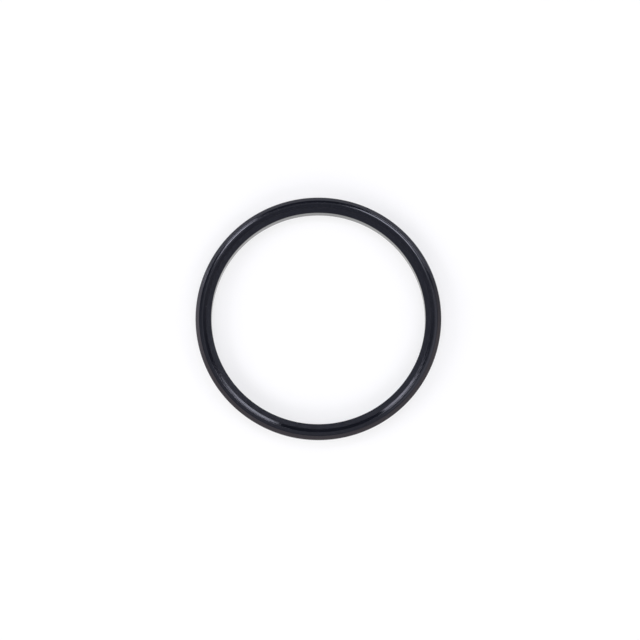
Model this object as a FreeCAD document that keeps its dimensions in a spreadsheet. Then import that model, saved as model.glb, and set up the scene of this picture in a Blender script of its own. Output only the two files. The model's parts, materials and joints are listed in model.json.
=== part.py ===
"""Moulded rubber sealing ring: a rounded bead round its outer half and a flat land round its bore.

The ring lies flat. Z is the ring's axis and Z = 0 is its flat underside.
"""
import FreeCAD
import Part
import Sketcher

import math
import os

# Driving dimensions in millimetres and slopes in degrees
SIZES = {
    "bore_diameter": 42.0,
    "band_width": 3.1,
    "ring_height": 3.4,
    "crown_setback": 1.28,
    "crown_radius": 1.6,
    "inner_crown_radius": 0.5,
    "shoulder_radius": 0.3,
    "foot_radius": 0.2,
    "lip_drop": 0.7,
    "base_edge_radius": 0.2,
    "brow_degrees": 22.0,
    "outer_flank_degrees": 41.0,
    "inner_flank_degrees": 39.0,
    "land_degrees": 10.0,
}

# Ends of a sketch line or arc, as the sketcher numbers them
START = 1
END = 2
CENTRE = 3

# The sketch's own origin point, as the sketcher numbers it
AXES = -1
ORIGIN = 1

QUARTER_TURN = math.pi / 2
HALF_TURN = math.pi
FULL_TURN = 2 * math.pi


def make_sheet(document):
    """Write each driving dimension in a row of its own, with its name as the alias of its value."""
    sheet = document.addObject("Spreadsheet::Sheet", "Sizes")
    for row, (alias, value) in enumerate(SIZES.items(), start=1):
        sheet.set(f"A{row}", alias)
        sheet.set(f"B{row}", str(value))
        sheet.setAlias(f"B{row}", alias)
    document.recompute()
    return sheet


def origin_feature(body, role):
    """Return the plane or axis of the body's own origin that has this role."""
    return next(item for item in body.Origin.OriginFeatures if item.Role == role)


def point(radius, height):
    """A point of the half section: its distance from the ring's axis and its height."""
    return FreeCAD.Vector(radius, height, 0)


def upward(lean):
    """Direction that stands square on a slope: straight up when level, leaning inward as the lean grows."""
    return FreeCAD.Vector(-math.sin(lean), math.cos(lean), 0)


def arc(centre, radius, from_angle, to_angle):
    """A round stretch of the half section, anticlockwise between two angles."""
    circle = Part.Circle(centre, FreeCAD.Vector(0, 0, 1), radius)
    return Part.ArcOfCircle(circle, from_angle, to_angle)


class HalfSection:
    """Starting shape of the ring's half section; the sketch's constraints then hold it to the sheet."""

    def __init__(self, sheet):
        self.bore = sheet.bore_diameter / 2
        self.outside = self.bore + sheet.band_width
        self.edge = sheet.base_edge_radius
        self.apex = point(self.outside - sheet.crown_setback, sheet.ring_height)
        self.lip = point(self.bore, sheet.ring_height - sheet.lip_drop)
        self.crown_radius = sheet.crown_radius
        self.inner_crown_radius = sheet.inner_crown_radius
        self.shoulder_radius = sheet.shoulder_radius
        self.foot_radius = sheet.foot_radius
        self.brow = math.radians(sheet.brow_degrees)
        self.outer_flank = math.radians(sheet.outer_flank_degrees)
        self.inner_flank = math.radians(sheet.inner_flank_degrees)
        self.land = math.radians(sheet.land_degrees)

    def below_apex(self, radius):
        """Centre of an arc that is level where it passes through the apex."""
        return self.apex - point(0, radius)

    def brow_point(self):
        """Outer end of the crown, where the outer flank starts down."""
        return self.below_apex(self.crown_radius) + self.crown_radius * upward(-self.brow)

    def flank_bottom(self):
        """Lower end of the outer flank, where it runs into the shoulder."""
        brow = self.brow_point()
        radius = self.outside - self.shoulder_radius + self.shoulder_radius * math.sin(self.outer_flank)
        return point(radius, brow.y - (radius - brow.x) * math.tan(self.outer_flank))

    def flank_top(self):
        """Upper end of the inner flank, where the crown runs into it."""
        return self.below_apex(self.inner_crown_radius) + self.inner_crown_radius * upward(self.inner_flank)

    def foot_corner(self):
        """Point where the inner flank and the land would cross."""
        top = self.flank_top()
        steep = math.tan(self.inner_flank)
        gentle = math.tan(self.land)
        radius = (self.lip.y - top.y + top.x * steep - self.lip.x * gentle) / (steep - gentle)
        return point(radius, self.lip.y + (radius - self.lip.x) * gentle)

    def foot_centre(self):
        """The foot arc lies over the corner and touches the inner flank and the land."""
        steep = upward(self.inner_flank)
        gentle = upward(self.land)
        return self.foot_corner() + (steep + gentle) * (self.foot_radius / (1 + steep.dot(gentle)))

    def pieces(self):
        """Lines and arcs of the outline by name, anticlockwise from the underside."""
        underside_outer = point(self.outside - self.edge, self.edge)
        underside_inner = point(self.bore + self.edge, self.edge)
        bottom = self.flank_bottom()
        shoulder = bottom - self.shoulder_radius * upward(-self.outer_flank)
        foot = self.foot_centre()
        foot_end = foot - self.foot_radius * upward(self.inner_flank)
        foot_start = foot - self.foot_radius * upward(self.land)
        return {
            "underside": Part.LineSegment(point(underside_inner.x, 0), point(underside_outer.x, 0)),
            "outer_edge": arc(underside_outer, self.edge, -QUARTER_TURN, 0),
            "outer_wall": Part.LineSegment(point(self.outside, self.edge), point(self.outside, shoulder.y)),
            "shoulder": arc(shoulder, self.shoulder_radius, 0, QUARTER_TURN - self.outer_flank),
            "outer_flank": Part.LineSegment(bottom, self.brow_point()),
            "crown": arc(self.below_apex(self.crown_radius), self.crown_radius,
                         QUARTER_TURN - self.brow, QUARTER_TURN),
            "inner_crown": arc(self.below_apex(self.inner_crown_radius), self.inner_crown_radius,
                               QUARTER_TURN, QUARTER_TURN + self.inner_flank),
            "inner_flank": Part.LineSegment(foot_end, self.flank_top()),
            "foot": arc(foot, self.foot_radius, self.land - QUARTER_TURN, self.inner_flank - QUARTER_TURN),
            "land": Part.LineSegment(self.lip, foot_start),
            "bore_wall": Part.LineSegment(self.lip, point(self.bore, self.edge)),
            "inner_edge": arc(underside_inner, self.edge, HALF_TURN, FULL_TURN - QUARTER_TURN),
        }


class Outline:
    """A sketch whose lines and arcs are known by name and whose sizes are bound to the sheet."""

    def __init__(self, sketch, pieces):
        self.sketch = sketch
        self.index = {name: sketch.addGeometry(piece, False) for name, piece in pieces.items()}

    def join_smoothly(self, first, first_end, second, second_end):
        """Two neighbours meet end to end with one direction."""
        self.sketch.addConstraint(
            Sketcher.Constraint("Tangent", self.index[first], first_end, self.index[second], second_end)
        )

    def join_in_corner(self, first, first_end, second, second_end):
        """Two neighbours meet end to end in a corner."""
        self.sketch.addConstraint(
            Sketcher.Constraint("Coincident", self.index[first], first_end, self.index[second], second_end)
        )

    def level(self, name):
        """Hold a line level."""
        self.sketch.addConstraint(Sketcher.Constraint("Horizontal", self.index[name]))

    def upright(self, name):
        """Hold a line upright."""
        self.sketch.addConstraint(Sketcher.Constraint("Vertical", self.index[name]))

    def bind(self, constraint, name, expression):
        """Add a size and tie it to the sheet."""
        number = self.sketch.addConstraint(constraint)
        self.sketch.renameConstraint(number, name)
        self.sketch.setExpression(f"Constraints.{name}", expression)

    def radius(self, name, expression):
        """Set an arc's radius from the sheet."""
        piece = self.index[name]
        start = self.sketch.Geometry[piece].Radius
        self.bind(Sketcher.Constraint("Radius", piece, start), f"{name}_size", expression)

    def angle(self, name, start, expression):
        """Set a line's direction, or the angle that an arc spans, from the sheet."""
        self.bind(Sketcher.Constraint("Angle", self.index[name], start), f"{name}_angle", expression)

    def between(self, direction, first, second, start, name, expression):
        """Set the level or upright distance from one point of the outline to another."""
        self.bind(Sketcher.Constraint(direction, *first, *second, start), name, expression)


def draw_outline(sketch, sheet):
    """Draw the half section and tie every size of it to the sheet."""
    section = HalfSection(sheet)
    outline = Outline(sketch, section.pieces())
    index = outline.index

    outline.join_smoothly("underside", END, "outer_edge", START)
    outline.join_smoothly("outer_edge", END, "outer_wall", START)
    outline.join_smoothly("outer_wall", END, "shoulder", START)
    outline.join_smoothly("shoulder", END, "outer_flank", START)
    outline.join_in_corner("outer_flank", END, "crown", START)
    outline.join_smoothly("crown", END, "inner_crown", START)
    outline.join_smoothly("inner_crown", END, "inner_flank", END)
    outline.join_smoothly("inner_flank", START, "foot", END)
    outline.join_smoothly("foot", START, "land", END)
    outline.join_in_corner("land", START, "bore_wall", START)
    outline.join_smoothly("bore_wall", END, "inner_edge", START)
    outline.join_smoothly("inner_edge", END, "underside", START)

    outline.level("underside")
    outline.upright("outer_wall")
    outline.upright("bore_wall")

    axis_point = (AXES, ORIGIN)
    underside = (index["underside"], START)
    bore_wall = (index["bore_wall"], END)
    outer_wall = (index["outer_wall"], START)
    lip = (index["land"], START)
    apex = (index["crown"], END)
    sketch.addConstraint(Sketcher.Constraint("PointOnObject", *underside, AXES))
    sketch.addConstraint(Sketcher.Constraint("Vertical", index["crown"], CENTRE, *apex))
    outline.between("DistanceX", axis_point, bore_wall, section.bore, "bore", "Sizes.bore_diameter / 2")
    outline.between("DistanceX", bore_wall, outer_wall, section.outside - section.bore, "band",
                    "Sizes.band_width")
    outline.between("DistanceX", apex, outer_wall, section.outside - section.apex.x, "setback",
                    "Sizes.crown_setback")
    outline.between("DistanceY", axis_point, apex, section.apex.y, "height", "Sizes.ring_height")
    outline.between("DistanceY", lip, apex, section.apex.y - section.lip.y, "drop", "Sizes.lip_drop")
    outline.radius("crown", "Sizes.crown_radius")
    outline.radius("inner_crown", "Sizes.inner_crown_radius")
    outline.radius("shoulder", "Sizes.shoulder_radius")
    outline.radius("foot", "Sizes.foot_radius")
    outline.radius("outer_edge", "Sizes.base_edge_radius")
    outline.radius("inner_edge", "Sizes.base_edge_radius")
    outline.angle("crown", section.brow, "Sizes.brow_degrees * 1 deg")
    outline.angle("outer_flank", HALF_TURN - section.outer_flank,
                  "180 deg - Sizes.outer_flank_degrees * 1 deg")
    outline.angle("inner_flank", section.inner_flank, "Sizes.inner_flank_degrees * 1 deg")
    outline.angle("land", section.land, "Sizes.land_degrees * 1 deg")


def make_ring(document, sheet):
    """Turn the half section round the ring's axis."""
    body = document.addObject("PartDesign::Body", "SealRing")
    body.Label = "seal_ring"
    sketch = body.newObject("Sketcher::SketchObject", "HalfSection")
    sketch.AttachmentSupport = [(origin_feature(body, "XZ_Plane"), "")]
    sketch.MapMode = "FlatFace"
    document.recompute()
    draw_outline(sketch, sheet)
    document.recompute()
    turned = body.newObject("PartDesign::Revolution", "TurnedRing")
    turned.Profile = sketch
    turned.ReferenceAxis = (sketch, ["V_Axis"])
    turned.Angle = 360
    sketch.Visibility = False
    body.Placement = FreeCAD.Placement()
    document.recompute()
    return body


def check(document, parts):
    """Stop if any object failed or any part has no valid single solid."""
    for item in document.Objects:
        if "Invalid" in item.State or "Error" in item.State:
            raise RuntimeError(f"{item.Label} could not be worked out: {item.State}")
    for part in parts:
        shape = part.Shape
        if shape.isNull() or not shape.isValid() or len(shape.Solids) != 1:
            raise RuntimeError(f"{part.Label} is not one valid solid")


def main():
    """Build the ring and write its solid."""
    document = FreeCAD.newDocument("SealRing")
    sheet = make_sheet(document)
    parts = [make_ring(document, sheet)]
    document.recompute()
    check(document, parts)
    os.makedirs("parts", exist_ok=True)
    for part in parts:
        part.Shape.exportStep(f"parts/{part.Label}.step")
        print(f"{part.Label}: {part.Shape.Volume:.3f} cubic mm")


main()
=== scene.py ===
"""Looks of a moulded black rubber sealing ring that lies on a pale table.

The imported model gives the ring's place and size. The ring shown here is one surface of revolution,
worked out from its half section. Lengths are in metres and angles in degrees, unless a name says otherwise.
"""

import json
import logging
import math
from dataclasses import dataclass, field
from enum import Enum
from typing import Any

import bpy
import numpy as np
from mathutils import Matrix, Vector

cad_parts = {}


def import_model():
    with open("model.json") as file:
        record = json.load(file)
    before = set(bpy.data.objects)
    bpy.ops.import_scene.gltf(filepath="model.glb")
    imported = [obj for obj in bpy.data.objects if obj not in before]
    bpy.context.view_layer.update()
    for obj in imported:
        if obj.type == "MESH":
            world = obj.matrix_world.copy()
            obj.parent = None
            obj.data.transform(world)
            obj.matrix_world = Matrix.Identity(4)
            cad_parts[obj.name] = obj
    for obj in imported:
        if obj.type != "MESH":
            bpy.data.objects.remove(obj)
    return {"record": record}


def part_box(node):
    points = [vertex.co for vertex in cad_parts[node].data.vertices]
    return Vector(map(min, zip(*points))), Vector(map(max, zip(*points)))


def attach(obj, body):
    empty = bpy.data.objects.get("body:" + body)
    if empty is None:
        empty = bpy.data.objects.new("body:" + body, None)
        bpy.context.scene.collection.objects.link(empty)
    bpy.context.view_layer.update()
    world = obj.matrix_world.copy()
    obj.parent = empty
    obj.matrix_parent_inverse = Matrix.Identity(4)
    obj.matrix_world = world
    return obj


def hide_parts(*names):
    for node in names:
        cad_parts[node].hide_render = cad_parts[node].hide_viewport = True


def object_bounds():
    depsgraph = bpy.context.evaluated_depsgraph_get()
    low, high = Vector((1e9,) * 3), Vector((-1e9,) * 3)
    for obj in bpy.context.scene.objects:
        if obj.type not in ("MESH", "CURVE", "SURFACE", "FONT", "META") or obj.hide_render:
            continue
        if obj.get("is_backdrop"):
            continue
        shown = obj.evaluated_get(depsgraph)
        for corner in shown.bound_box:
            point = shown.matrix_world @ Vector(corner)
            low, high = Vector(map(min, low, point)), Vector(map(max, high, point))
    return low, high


LOG = logging.getLogger("seal_ring")
PHOTO_PIXELS = 640
MM = 0.001
QUARTER = math.pi / 2
WHITE = (1.0, 1.0, 1.0)
NODE = "seal_ring"


def upward(lean: float) -> np.ndarray:
    """Direction that stands square on a slope.

    Args:
        lean: Slope in radians; the direction leans towards the axis as it grows.

    Returns:
        Unit vector as (outward, up).
    """
    return np.array([-math.sin(lean), math.cos(lean)])


def arc(centre: np.ndarray, radius: float, first: float, last: float, steps: int) -> np.ndarray:
    """Points of a circular arc: the centre plus the radius times (cos, sin) of evenly spaced angles.

    Args:
        centre: Centre as (outward, up).
        radius: Radius of the arc.
        first: Angle of the first point in radians, from the outward direction.
        last: Angle of the last point in radians.
        steps: Number of equal steps between the two.

    Returns:
        Array of steps + 1 points.
    """
    angles = np.linspace(first, last, steps + 1)
    return centre + radius * np.column_stack([np.cos(angles), np.sin(angles)])


def run(first: np.ndarray, last: np.ndarray, steps: int) -> np.ndarray:
    """Points between two ends of a straight run, at even steps and without the ends themselves.

    Args:
        first: Where the run starts.
        last: Where the run ends.
        steps: Number of equal steps.

    Returns:
        Array of steps - 1 points.
    """
    share = np.linspace(0, 1, steps + 1)[1:-1, None]
    return first + (last - first) * share


@dataclass(frozen=True)
class SectionSteps:
    """Into how many equal steps each stretch of the section is divided."""

    edge: int = 6
    wall: int = 12
    shoulder: int = 9
    flank: int = 7
    brow: int = 4
    crown: int = 10
    foot: int = 6
    land: int = 12
    lip: int = 5
    base: int = 8


@dataclass(frozen=True)
class HalfSection:
    """Section of the band: the solid's, with finer roundings, gentler flanks and a wall drawn in below."""

    bore_radius: float
    outer_radius: float
    height: float
    crown_setback: float = 1.36 * MM
    crown_radius: float = 1.6 * MM
    inner_crown_radius: float = 0.3 * MM
    shoulder_radius: float = 0.2 * MM
    foot_radius: float = 0.2 * MM
    brow_radius: float = 0.1 * MM
    lip_drop: float = 0.7 * MM
    lip_radius: float = 0.07 * MM
    base_edge_radius: float = 0.2 * MM
    wall_draw: float = 0.25 * MM
    brow_slope: float = 22.0
    outer_flank_slope: float = 38.0
    inner_flank_slope: float = 37.0
    land_slope: float = 10.0
    steps: SectionSteps = SectionSteps()

    def below_apex(self, radius: float) -> np.ndarray:
        """Centre of an arc that is level at the apex."""
        return np.array([self.outer_radius - self.crown_setback, self.height - radius])

    def crown(self) -> np.ndarray:
        """Outer flank, brow and crown.

        The shoulder is an arc against the outer wall, and the flank is the straight line that touches it.
        The brow is a small arc inside the crown's arc, and touches the flank. Two arcs meet level at the apex.

        Returns:
            Points from the top of the outer wall to the top of the inner flank.
        """
        steep = math.radians(self.outer_flank_slope)
        brow = math.radians(self.brow_slope)
        inner = math.radians(self.inner_flank_slope)
        crown_centre = self.below_apex(self.crown_radius)
        inner_centre = self.below_apex(self.inner_crown_radius)
        brow_centre = crown_centre + (self.crown_radius - self.brow_radius) * upward(-brow)
        flank_top = brow_centre + self.brow_radius * upward(-steep)
        bottom_radius = self.outer_radius - self.shoulder_radius * (1 - math.sin(steep))
        bottom_height = flank_top[1] - (bottom_radius - flank_top[0]) * math.tan(steep)
        flank_bottom = np.array([bottom_radius, bottom_height])
        shoulder = flank_bottom - self.shoulder_radius * upward(-steep)
        steps = self.steps
        return np.vstack([
            arc(shoulder, self.shoulder_radius, 0, QUARTER - steep, steps.shoulder),
            run(flank_bottom, flank_top, steps.flank),
            arc(brow_centre, self.brow_radius, QUARTER - steep, QUARTER - brow, steps.brow),
            arc(crown_centre, self.crown_radius, QUARTER - brow, QUARTER, steps.crown)[1:],
            arc(inner_centre, self.inner_crown_radius, QUARTER, QUARTER + inner, steps.crown)[1:],
        ])

    def land(self, flank_top: np.ndarray) -> np.ndarray:
        """Inner flank, foot and land.

        The foot is the arc that touches the flank's line and the land's line from above.

        Args:
            flank_top: Where the crown runs into the inner flank.

        Returns:
            Points from just under the top of the inner flank to the lip's start on the land.
        """
        steep = math.radians(self.inner_flank_slope)
        gentle = math.radians(self.land_slope)
        lip = np.array([self.bore_radius, self.height - self.lip_drop])
        corner_radius = (
            lip[1] - flank_top[1] + flank_top[0] * math.tan(steep) - lip[0] * math.tan(gentle)
        ) / (math.tan(steep) - math.tan(gentle))
        corner = np.array([corner_radius, lip[1] + (corner_radius - lip[0]) * math.tan(gentle)])
        over_both = upward(steep) + upward(gentle)
        foot = corner + over_both * self.foot_radius / (1 + float(upward(steep) @ upward(gentle)))
        foot_arc = arc(foot, self.foot_radius, steep - QUARTER, gentle - QUARTER, self.steps.foot)
        lip_arc = self.lip()
        return np.vstack([
            run(flank_top, foot_arc[0], self.steps.flank),
            foot_arc,
            run(foot_arc[-1], lip_arc[0], self.steps.land),
            lip_arc,
        ])

    def lip(self) -> np.ndarray:
        """Small arc that touches the land and the bore wall.

        Returns:
            Points from the land round to the bore wall.
        """
        gentle = math.radians(self.land_slope)
        corner = np.array([self.bore_radius, self.height - self.lip_drop])
        along = self.lip_radius * (1 - math.sin(gentle)) / math.cos(gentle)
        start = corner + along * np.array([math.cos(gentle), math.sin(gentle)])
        centre = start - self.lip_radius * upward(gentle)
        return arc(centre, self.lip_radius, QUARTER + gentle, 2 * QUARTER, self.steps.lip)

    def outer_wall(self, foot: np.ndarray, top: np.ndarray) -> np.ndarray:
        """Outer wall, upright under the shoulder and drawn in towards the underside.

        The wall draws in with the square of the way down from the top.

        Args:
            foot: Lower end of the wall.
            top: Upper end of the wall.

        Returns:
            Points between the two ends, from the foot upward.
        """
        down = np.linspace(1, 0, self.steps.wall + 1)[1:-1]
        outward = top[0] + (foot[0] - top[0]) * down ** 2
        upward_way = top[1] + (foot[1] - top[1]) * down
        return np.column_stack([outward, upward_way])

    def outline(self) -> np.ndarray:
        """The whole closed outline, from the underside's outer edge up, over and back down the bore.

        Returns:
            Array of (distance from the axis, height), anticlockwise, without a repeated end point.
        """
        edge = self.base_edge_radius
        steps = self.steps
        outer_centre = np.array([self.outer_radius - self.wall_draw - edge, edge])
        inner_centre = np.array([self.bore_radius + edge, edge])
        outer_edge = arc(outer_centre, edge, -QUARTER, 0, steps.edge)
        inner_edge = arc(inner_centre, edge, 2 * QUARTER, 3 * QUARTER, steps.edge)
        crown = self.crown()
        land = self.land(crown[-1])
        return np.vstack([
            outer_edge,
            self.outer_wall(outer_edge[-1], crown[0]),
            crown,
            land,
            run(land[-1], inner_edge[0], steps.base),
            inner_edge,
            run(inner_edge[-1], outer_edge[0], steps.base),
        ])


class NodeSheet:
    """Short way to fill a node tree."""

    def __init__(self, tree: bpy.types.NodeTree) -> None:
        """Start from an empty tree."""
        self.tree = tree
        tree.nodes.clear()

    def add(self, kind: str, settings: dict[str, Any] | None = None, **inputs: Any) -> bpy.types.Node:
        """Add a node, set its properties and fill its sockets.

        Args:
            kind: Blender's name of the node type.
            settings: Node properties by name.
            **inputs: Socket values or output sockets to link, by socket name with _ for a space.

        Returns:
            The new node.
        """
        node = self.tree.nodes.new(kind)
        for name, value in (settings or {}).items():
            setattr(node, name, value)
        for name, value in inputs.items():
            socket = node.inputs[name.replace("_", " ")]
            if isinstance(value, bpy.types.NodeSocket):
                self.tree.links.new(value, socket)
            else:
                socket.default_value = value
        return node

    def noise(
        self, place: bpy.types.NodeSocket, size: float, detail: float, rough: float,
    ) -> bpy.types.NodeSocket:
        """Cloudy pattern whose blots are about one size across.

        Args:
            place: Coordinates that the pattern is laid on.
            size: Breadth of a blot in metres.
            detail: Number of finer layers.
            rough: Strength of the finer layers.

        Returns:
            The pattern's value.
        """
        node = self.add(
            "ShaderNodeTexNoise", Vector=place, Scale=1 / size, Detail=detail, Roughness=rough,
        )
        return node.outputs["Fac"]

    def blend(self, share: bpy.types.NodeSocket, first: Any, second: Any) -> bpy.types.NodeSocket:
        """Mix two colours.

        Args:
            share: How much of the second colour shows.
            first: Colour or colour socket.
            second: Colour or colour socket.

        Returns:
            The mixed colour.
        """
        node = self.add("ShaderNodeMix", {"data_type": "RGBA"})
        self.tree.links.new(share, node.inputs[0])
        for number, value in ((6, first), (7, second)):
            if isinstance(value, bpy.types.NodeSocket):
                self.tree.links.new(value, node.inputs[number])
            else:
                node.inputs[number].default_value = (*value, 1)
        return node.outputs[2]

    def flat(self, place: bpy.types.NodeSocket) -> bpy.types.NodeSocket:
        """A vector without its height."""
        node = self.add("ShaderNodeVectorMath", {"operation": "MULTIPLY"})
        self.tree.links.new(place, node.inputs[0])
        node.inputs[1].default_value = (1, 1, 0)
        return node.outputs[0]

    def length(self, vector: bpy.types.NodeSocket) -> bpy.types.NodeSocket:
        """Length of a vector."""
        node = self.add("ShaderNodeVectorMath", {"operation": "LENGTH"})
        self.tree.links.new(vector, node.inputs[0])
        return node.outputs["Value"]

    def product(self, first: bpy.types.NodeSocket, second: bpy.types.NodeSocket) -> bpy.types.NodeSocket:
        """Product of two values."""
        node = self.add("ShaderNodeMath", {"operation": "MULTIPLY"})
        self.tree.links.new(first, node.inputs[0])
        self.tree.links.new(second, node.inputs[1])
        return node.outputs[0]

    def larger(self, first: bpy.types.NodeSocket, second: bpy.types.NodeSocket) -> bpy.types.NodeSocket:
        """Larger of two values."""
        node = self.add("ShaderNodeMath", {"operation": "MAXIMUM"})
        self.tree.links.new(first, node.inputs[0])
        self.tree.links.new(second, node.inputs[1])
        return node.outputs[0]

    def ramp(
        self, value: bpy.types.NodeSocket, low: float, high: float, start: float, end: float,
    ) -> bpy.types.NodeSocket:
        """Carry one range of a value to another, clamped at both ends.

        Args:
            value: The value to carry over.
            low: Value that gives the start.
            high: Value that gives the end.
            start: First result.
            end: Last result.

        Returns:
            The result.
        """
        node = self.add("ShaderNodeMapRange", {"clamp": True}, Value=value)
        for name, number in (("From Min", low), ("From Max", high), ("To Min", start), ("To Max", end)):
            node.inputs[name].default_value = number
        return node.outputs["Result"]


@dataclass(frozen=True)
class RubberFinish:
    """Black moulded rubber: a glossy bead, a duller land, fine streaks round the ring, grain and faint lint.

    The lint's radii are shares of its spacing, and its lot tells which cells have a speck. The reach of the
    clouds and of the speckle is the part of the pattern's range that counts. The streaks in reach, times their
    size, go well past the ring.
    """

    name: str = "black_rubber"
    deep: tuple[float, float, float] = (0.0002, 0.0011, 0.0040)
    worn: tuple[float, float, float] = (0.0056, 0.0064, 0.0120)
    lint: tuple[float, float, float] = (0.30, 0.30, 0.29)
    cloud_size: float = 1.6 * MM
    speckle_size: float = 0.25 * MM
    grain_size: float = 0.09 * MM
    ripple_size: float = 0.7 * MM
    streak_size: float = 0.11 * MM
    streaks_in_reach: int = 1000
    bead_roughness: float = 0.11
    land_roughness: float = 0.5
    land_gloss: float = 0.34
    lip_from_axis: float = 21.04 * MM
    foot_from_axis: float = 22.06 * MM
    edge_blur: float = 0.12 * MM
    grain_height: float = 0.0015 * MM
    ripple_height: float = 0.003 * MM
    streak_height: float = 0.0012 * MM
    lint_spacing: float = 1.1 * MM
    lint_radii: tuple[float, float] = (0.03, 0.07)
    lint_lot: tuple[float, float] = (0.72, 0.8)
    lint_strength: float = 0.3
    cloud_reach: tuple[float, float] = (0.3, 0.7)
    cloud_stir: tuple[float, float] = (0.85, 1.2)
    speckle_reach: tuple[float, float] = (0.42, 0.66)
    refraction: float = 1.58
    bead_gloss: float = 0.5

    def streaks(self, sheet: NodeSheet, place: bpy.types.NodeSocket) -> bpy.types.NodeSocket:
        """Fine streaks that run round the ring.

        The pattern is laid on (cos a, sin a, r / streak size), so that it changes quickly across the band and
        slowly along it.

        Args:
            sheet: Node tree in the making.
            place: Object coordinates.

        Returns:
            The pattern's value.
        """
        level = sheet.flat(place)
        way = sheet.add("ShaderNodeVectorMath", {"operation": "NORMALIZE"})
        sheet.tree.links.new(level, way.inputs[0])
        parts = sheet.add("ShaderNodeSeparateXYZ", Vector=way.outputs[0])
        reach = self.streak_size * self.streaks_in_reach
        across = sheet.ramp(sheet.length(level), 0, reach, 0, self.streaks_in_reach)
        spot = sheet.add("ShaderNodeCombineXYZ", X=parts.outputs["X"], Y=parts.outputs["Y"], Z=across)
        return sheet.noise(spot.outputs[0], size=1.0, detail=3, rough=0.6)

    def lint_share(self, sheet: NodeSheet, place: bpy.types.NodeSocket) -> bpy.types.NodeSocket:
        """Where lint covers the skin: a tiny faint speck in the middle of a few cells of a cell pattern.

        Args:
            sheet: Node tree in the making.
            place: Object coordinates.

        Returns:
            The share of lint.
        """
        cells = sheet.add(
            "ShaderNodeTexVoronoi", {"feature": "F1"}, Vector=place, Scale=1 / self.lint_spacing,
        )
        lot = sheet.add("ShaderNodeSeparateXYZ", Vector=cells.outputs["Color"]).outputs["X"]
        return sheet.product(
            sheet.ramp(cells.outputs["Distance"], *self.lint_radii, self.lint_strength, 0),
            sheet.ramp(lot, *self.lint_lot, 0, 1),
        )

    def land_share(self, sheet: NodeSheet, place: bpy.types.NodeSocket) -> bpy.types.NodeSocket:
        """Tell the land from the rest: 1 between the lip's and the foot's distance from the axis, else 0.

        Args:
            sheet: Node tree in the making.
            place: Object coordinates.

        Returns:
            The share.
        """
        outward = sheet.length(sheet.flat(place))
        half = self.edge_blur / 2
        return sheet.product(
            sheet.ramp(outward, self.lip_from_axis - half, self.lip_from_axis + half, 0, 1),
            sheet.ramp(outward, self.foot_from_axis - half, self.foot_from_axis + half, 1, 0),
        )

    def make(self) -> bpy.types.Material:
        """Make the material.

        Colour and roughness follow noises on the object's own coordinates, and the skin's relief is the sum
        of a slow ripple, the streaks and a fine grain.

        Returns:
            The finished material.
        """
        material = bpy.data.materials.new(self.name)
        material.use_nodes = True
        sheet = NodeSheet(material.node_tree)
        place = sheet.add("ShaderNodeTexCoord").outputs["Object"]
        clouds = sheet.noise(place, self.cloud_size, detail=5, rough=0.6)
        speckle = sheet.noise(place, self.speckle_size, detail=3, rough=0.6)
        land = self.land_share(sheet, place)
        stir = sheet.ramp(clouds, *self.cloud_reach, *self.cloud_stir)
        dullness = sheet.ramp(land, 0, 1, self.bead_roughness, self.land_roughness)
        roughness = sheet.product(dullness, stir)
        rubber = sheet.blend(sheet.ramp(speckle, *self.speckle_reach, 0, 1), self.deep, self.worn)
        lint = self.lint_share(sheet, place)
        relief: Any = None
        for pattern, height in (
            (sheet.noise(place, self.ripple_size, detail=2, rough=0.5), self.ripple_height),
            (self.streaks(sheet, place), self.streak_height),
            (sheet.noise(place, self.grain_size, detail=3, rough=0.55), self.grain_height),
        ):
            bump = sheet.add("ShaderNodeBump", Height=pattern, Distance=height, Strength=1.0)
            if relief is not None:
                sheet.tree.links.new(relief, bump.inputs["Normal"])
            relief = bump.outputs["Normal"]
        skin = sheet.add(
            "ShaderNodeBsdfPrincipled",
            Base_Color=sheet.blend(lint, rubber, self.lint),
            Roughness=sheet.larger(roughness, lint),
            IOR=self.refraction,
            Specular_IOR_Level=sheet.ramp(land, 0, 1, self.bead_gloss, self.land_gloss),
            Normal=relief,
        )
        sheet.add("ShaderNodeOutputMaterial", Surface=skin.outputs["BSDF"])
        return material


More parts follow.
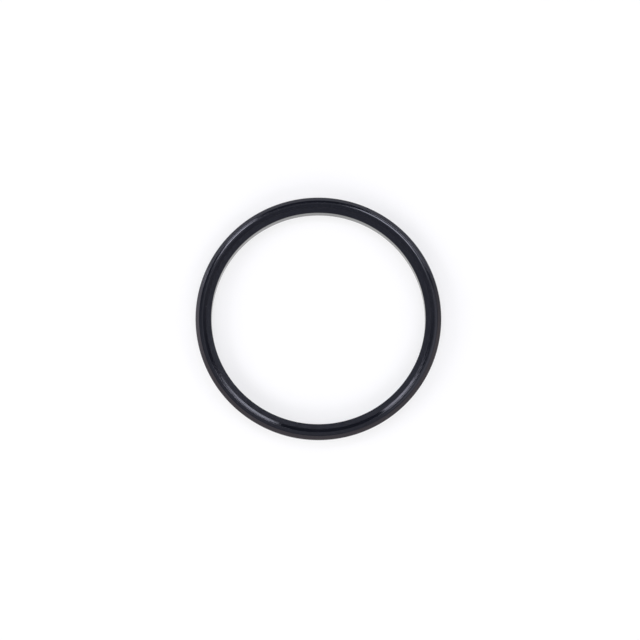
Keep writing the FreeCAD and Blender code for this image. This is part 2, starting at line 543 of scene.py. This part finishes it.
@dataclass
class SealRing:
    """The moulded ring, all in one piece."""

    section: HalfSection
    finish: RubberFinish = field(default_factory=RubberFinish)
    node: str = NODE
    body: str = "root"
    slot: str = "black_rubber"
    around: int = 880

    def surface(self) -> tuple[np.ndarray, np.ndarray]:
        """Carry the half section once round the axis.

        Point (i, j) is outline point j turned by angle i: (r cos a, r sin a, z). Both directions close on
        themselves.

        Returns:
            Points as an (n, 3) array and four-sided faces as an (m, 4) array of point numbers.
        """
        outline = self.section.outline()
        count = len(outline)
        angles = np.arange(self.around) * (2 * math.pi / self.around)
        across = outline[None, :, 0]
        points = np.stack([
            across * np.cos(angles)[:, None],
            across * np.sin(angles)[:, None],
            np.broadcast_to(outline[None, :, 1], (self.around, count)),
        ], axis=-1)
        here = np.arange(self.around)[:, None] * count
        there = (np.arange(self.around)[:, None] + 1) % self.around * count
        this = np.arange(count)[None, :]
        following = (this + 1) % count
        faces = np.stack([here + this, there + this, there + following, here + following], axis=-1)
        return points.reshape(-1, 3), faces.reshape(-1, 4)

    def build(self) -> bpy.types.Object:
        """Make the ring's mesh and its object.

        Returns:
            The ring's object, at the origin.
        """
        points, faces = self.surface()
        mesh = bpy.data.meshes.new("ring_skin")
        mesh.vertices.add(len(points))
        mesh.vertices.foreach_set("co", points.ravel())
        mesh.loops.add(faces.size)
        mesh.loops.foreach_set("vertex_index", faces.ravel())
        mesh.polygons.add(len(faces))
        mesh.polygons.foreach_set("loop_start", np.arange(0, faces.size, 4))
        mesh.polygons.foreach_set("use_smooth", np.ones(len(faces), dtype=bool))
        mesh.update(calc_edges=True)
        mesh.validate()
        ring = bpy.data.objects.new("ring_skin", mesh)
        bpy.context.scene.collection.objects.link(ring)
        return ring

    def place(self) -> bpy.types.Object:
        """Build and dress the ring and tie it to the frame.

        Returns:
            The ring's object.
        """
        ring = self.build()
        ring.data.materials.append(self.finish.make())
        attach(ring, self.body)
        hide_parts(self.node)
        LOG.info("ring skin: %d points", len(ring.data.vertices))
        return ring


class LampKind(Enum):
    """Shapes that a soft lamp has."""

    OBLONG = "RECTANGLE"
    OVAL = "ELLIPSE"


@dataclass(frozen=True)
class SoftLamp:
    """A flat soft lamp that faces the ring."""

    name: str
    bearing: float
    elevation: float
    width: float
    height: float
    brightness: float
    distance: float = 0.9
    tint: tuple[float, float, float] = (0.95, 0.96, 1.15)
    kind: LampKind = LampKind.OBLONG
    in_reflections: bool = True

    def place(self) -> bpy.types.Object:
        """Hang the lamp.

        Its power gives the lamp's face the wanted radiance: power = brightness * area * pi.

        Returns:
            The lamp's object.
        """
        light = bpy.data.lights.new(self.name, "AREA")
        light.shape = self.kind.value
        light.size = self.width
        light.size_y = self.height
        filled = math.pi / 4 if self.kind is LampKind.OVAL else 1.0
        light.energy = self.brightness * self.width * self.height * filled * math.pi
        light.color = self.tint
        lamp = bpy.data.objects.new(self.name, light)
        bearing, elevation = math.radians(self.bearing), math.radians(self.elevation)
        lamp.location = self.distance * Vector((
            math.cos(bearing) * math.cos(elevation),
            math.sin(bearing) * math.cos(elevation),
            math.sin(elevation),
        ))
        lamp.rotation_euler = (-lamp.location).to_track_quat("-Z", "Y").to_euler()
        lamp.visible_glossy = self.in_reflections
        bpy.context.scene.collection.objects.link(lamp)
        LOG.info("lamp %s", self.name)
        return lamp


@dataclass(frozen=True)
class TableTop:
    """Pale table that keeps the ring's soft shadow.

    Part of what the camera and the reflections see is a plain white glow. In reflections it fades from the
    near reach to the far reach, both measured from the ring's axis.
    """

    half_width: float = 1.2
    colour: tuple[float, float, float] = (0.9, 0.9, 0.9)
    seen_share: float = 0.67
    mirrored_share: float = 0.95
    mirrored_afar: float = 0.5
    near_reach: float = 0.045
    far_reach: float = 0.12

    def place(self) -> bpy.types.Object:
        """Lay the table top just under the ring.

        Returns:
            The table's object.
        """
        side = self.half_width
        corners = [(-side, -side, 0), (side, -side, 0), (side, side, 0), (-side, side, 0)]
        mesh = bpy.data.meshes.new("table_top")
        mesh.from_pydata(corners, [], [(0, 1, 2, 3)])
        material = bpy.data.materials.new("table_white")
        material.use_nodes = True
        sheet = NodeSheet(material.node_tree)
        matt = sheet.add("ShaderNodeBsdfDiffuse", Color=(*self.colour, 1))
        ray = sheet.add("ShaderNodeLightPath")
        away = sheet.length(sheet.add("ShaderNodeTexCoord").outputs["Object"])
        strength = sheet.larger(
            ray.outputs["Is Camera Ray"],
            sheet.ramp(away, self.near_reach, self.far_reach, 1, self.mirrored_afar),
        )
        glow = sheet.add("ShaderNodeEmission", Color=(1, 1, 1, 1), Strength=strength)
        share = sheet.larger(
            sheet.ramp(ray.outputs["Is Camera Ray"], 0, 1, 0, self.seen_share),
            sheet.ramp(ray.outputs["Is Glossy Ray"], 0, 1, 0, self.mirrored_share),
        )
        top = sheet.add("ShaderNodeMixShader", Fac=share)
        sheet.tree.links.new(matt.outputs["BSDF"], top.inputs[1])
        sheet.tree.links.new(glow.outputs["Emission"], top.inputs[2])
        sheet.add("ShaderNodeOutputMaterial", Surface=top.outputs["Shader"])
        mesh.materials.append(material)
        table = bpy.data.objects.new("table_top", mesh)
        bpy.context.scene.collection.objects.link(table)
        table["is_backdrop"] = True
        LOG.info("table top")
        return table


@dataclass(frozen=True)
class RoomSide:
    """Brightness of one side of the room, from the table's height upward."""

    rim: tuple[float, float, float]
    wall: float
    upper: float
    high: float
    rim_top: float
    wall_top: float
    upper_top: float
    softness: float = 0.03
    blueness: float = 1.15

    def colour(self, sheet: NodeSheet, up: bpy.types.NodeSocket) -> bpy.types.NodeSocket:
        """Colour by the height of the ray: rim, then wall, upper and high, each over into the next.

        Args:
            sheet: Node tree in the making.
            up: Height of the ray, 0 at the horizon and 1 overhead.

        Returns:
            The side's colour.
        """
        result: Any = self.rim
        bounds = (
            (self.rim_top, self.wall),
            (self.wall_top, self.upper),
            (self.upper_top, self.high),
        )
        for top, level in bounds:
            share = sheet.ramp(up, top - self.softness, top + self.softness, 0, 1)
            result = sheet.blend(share, result, (level, level, level * self.blueness))
        return result


@dataclass(frozen=True)
class Room:
    """Dim light from all round: the near side has a bright rim, the far side is dark between the lamps.

    The lean lifts the levels on the near side and lowers them on the far side. The turn is where the near
    side goes over into the far side, and the top edge where the sides go over into the top. The camera itself
    sees white.
    """

    near: RoomSide = RoomSide(rim=(1.0, 0.88, 0.9), wall=0.27, upper=0.2, high=0.42,
                              rim_top=0.245, wall_top=0.475, upper_top=0.78)
    far: RoomSide = RoomSide(rim=(0.78, 0.78, 0.92), wall=0.09, upper=0.12, high=0.2,
                             rim_top=0.2, wall_top=0.76, upper_top=0.92)
    top: tuple[float, float, float] = (0.42, 0.42, 0.48)
    lean: float = 0.14
    turn: tuple[float, float] = (0.05, 0.55)
    top_edge: tuple[float, float] = (0.965, 0.985)

    def place(self) -> None:
        """Set the world: far side's colour where the ray runs towards the far side, else the near side's."""
        world = bpy.data.worlds.new("room")
        world.use_nodes = True
        sheet = NodeSheet(world.node_tree)
        direction = sheet.add("ShaderNodeTexCoord").outputs["Generated"]
        height = sheet.add("ShaderNodeVectorMath", {"operation": "DOT_PRODUCT"})
        sheet.tree.links.new(direction, height.inputs[0])
        height.inputs[1].default_value = (0, self.lean, 1)
        up = height.outputs["Value"]
        heading = sheet.add("ShaderNodeVectorMath", {"operation": "NORMALIZE"})
        sheet.tree.links.new(sheet.flat(direction), heading.inputs[0])
        away = sheet.add("ShaderNodeSeparateXYZ", Vector=heading.outputs[0]).outputs["Y"]
        near = self.near.colour(sheet, up)
        far = self.far.colour(sheet, up)
        sides = sheet.blend(sheet.ramp(away, *self.turn, 0, 1), near, far)
        whole = sheet.blend(sheet.ramp(up, *self.top_edge, 0, 1), sides, self.top)
        ray = sheet.add("ShaderNodeLightPath")
        shown = sheet.blend(ray.outputs["Is Camera Ray"], whole, WHITE)
        glow = sheet.add("ShaderNodeBackground", Color=shown, Strength=1.0)
        sheet.add("ShaderNodeOutputWorld", Surface=glow.outputs["Background"])
        bpy.context.scene.world = world
        LOG.info("room light")


@dataclass(frozen=True)
class PhotoCamera:
    """Camera at the photograph's viewing angle."""

    distance: float = 0.368
    tilt: float = 9.4
    sideways: float = 0.003
    aim: tuple[float, float, float] = (0.00034, -0.00047, 0.0026)
    pixels_per_metre: float = 5101.0
    sensor_width: float = 36.0
    nearest: float = 0.01
    farthest: float = 10.0

    def place(self) -> bpy.types.Object:
        """Put up the camera, tilted from straight down towards the near side.

        Its lens follows from the number of photo pixels that a metre covers at the ring.

        Returns:
            The camera's object.
        """
        data = bpy.data.cameras.new("photo_camera")
        data.sensor_width = self.sensor_width
        data.lens = self.sensor_width * self.pixels_per_metre * self.distance / PHOTO_PIXELS
        data.clip_start = self.nearest
        data.clip_end = self.farthest
        camera = bpy.data.objects.new("photo_camera", data)
        tilt = math.radians(self.tilt)
        target = Vector(self.aim)
        camera.location = target + self.distance * Vector((0, -math.sin(tilt), math.cos(tilt)))
        camera.location.x += self.sideways
        camera.rotation_euler = (target - camera.location).to_track_quat("-Z", "Y").to_euler()
        bpy.context.scene.collection.objects.link(camera)
        bpy.context.scene.camera = camera
        LOG.info("camera")
        return camera


def studio_lamps() -> tuple[SoftLamp, ...]:
    """Lamps of the studio.

    Those on the far side give the highlights of the bead, and the three fills light the table without a
    reflection.

    Returns:
        The lamps in the order in which they are hung.
    """
    oval = LampKind.OVAL
    return (
        SoftLamp("high_right", bearing=66, elevation=63, width=0.2, height=0.19, brightness=5.5),
        SoftLamp("high_left", bearing=125, elevation=61, width=0.13, height=0.17, brightness=7.5),
        SoftLamp("middle_right", bearing=56, elevation=42, width=0.38, height=0.09, brightness=4.5),
        SoftLamp("middle_left", bearing=126, elevation=44, width=0.19, height=0.09, brightness=6.0),
        SoftLamp("low_right", bearing=54, elevation=11.5, width=0.72, height=0.08, brightness=4.3, kind=oval),
        SoftLamp("low_left", bearing=140, elevation=11.5, width=0.6, height=0.08, brightness=5.8, kind=oval),
        SoftLamp("right_wall", bearing=4, elevation=58, width=0.6, height=0.5, brightness=0.52),
        SoftLamp("left_wall", bearing=182, elevation=9, width=1.1, height=0.11, brightness=0.5),
        SoftLamp("fill_near", bearing=270, elevation=32, width=0.9, height=0.4, brightness=5.0,
                 distance=1.0, tint=WHITE, in_reflections=False),
        SoftLamp("fill_left", bearing=190, elevation=32, width=0.9, height=0.4, brightness=5.0,
                 distance=1.0, tint=WHITE, in_reflections=False),
        SoftLamp("fill_right", bearing=2, elevation=36, width=0.6, height=0.4, brightness=2.8,
                 distance=1.0, tint=WHITE, in_reflections=False),
    )


def note_sizes(solid: Any, shown: Any) -> None:
    """Args:
        solid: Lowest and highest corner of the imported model.
        shown: Lowest and highest corner of what is shown.
    """
    LOG.info("solid %s shown %s", solid, shown)


def main() -> None:
    """Build the ring, its table, its light and the camera, and note the sizes."""
    logging.basicConfig(level=logging.INFO, format="%(message)s")
    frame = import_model()
    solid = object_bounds()
    bore = next(mount for mount in frame["record"]["mounts"] if mount["name"] == "bore")
    _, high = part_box(NODE)
    section = HalfSection(
        bore_radius=bore["dims"]["r_mm"] * MM,
        outer_radius=max(high[0], high[1]),
        height=high[2],
    )
    PhotoCamera().place()
    SealRing(section).place()
    TableTop().place()
    Room().place()
    for lamp in studio_lamps():
        lamp.place()
    bpy.context.scene.view_settings.view_transform = "Standard"
    note_sizes(solid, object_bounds())


if __name__ == "__main__":
    main()
